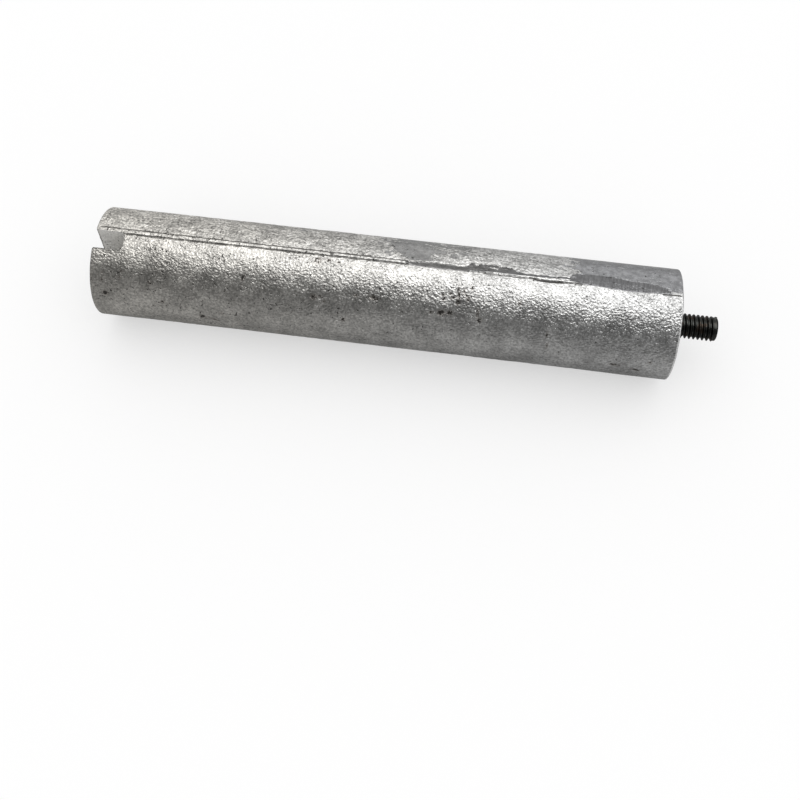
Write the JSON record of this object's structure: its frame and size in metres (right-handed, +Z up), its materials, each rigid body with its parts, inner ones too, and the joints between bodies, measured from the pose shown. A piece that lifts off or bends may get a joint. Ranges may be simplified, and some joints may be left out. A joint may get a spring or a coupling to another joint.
{
  "type": "sacrificial anode",
  "caption": "Cast magnesium anode rod with a steel screw stud in one end and a driver slot across the other.",
  "frame": {"origin": "centre of the underside of the bounding box, on the surface that the rod lies on", "axes": "+X along the rod towards the stud, +Z up out of the surface, the mould's parting plane is XZ"},
  "size_m": [0.1442, 0.026, 0.0261],
  "materials": {
    "cast_magnesium": "as cast, grainy silver grey",
    "stud_steel": "dark oiled steel, cut thread"
  },
  "bodies": {
    "root": {"anode_rod": "cast_magnesium", "threaded_stud": "stud_steel"}
  },
  "joints": []
}
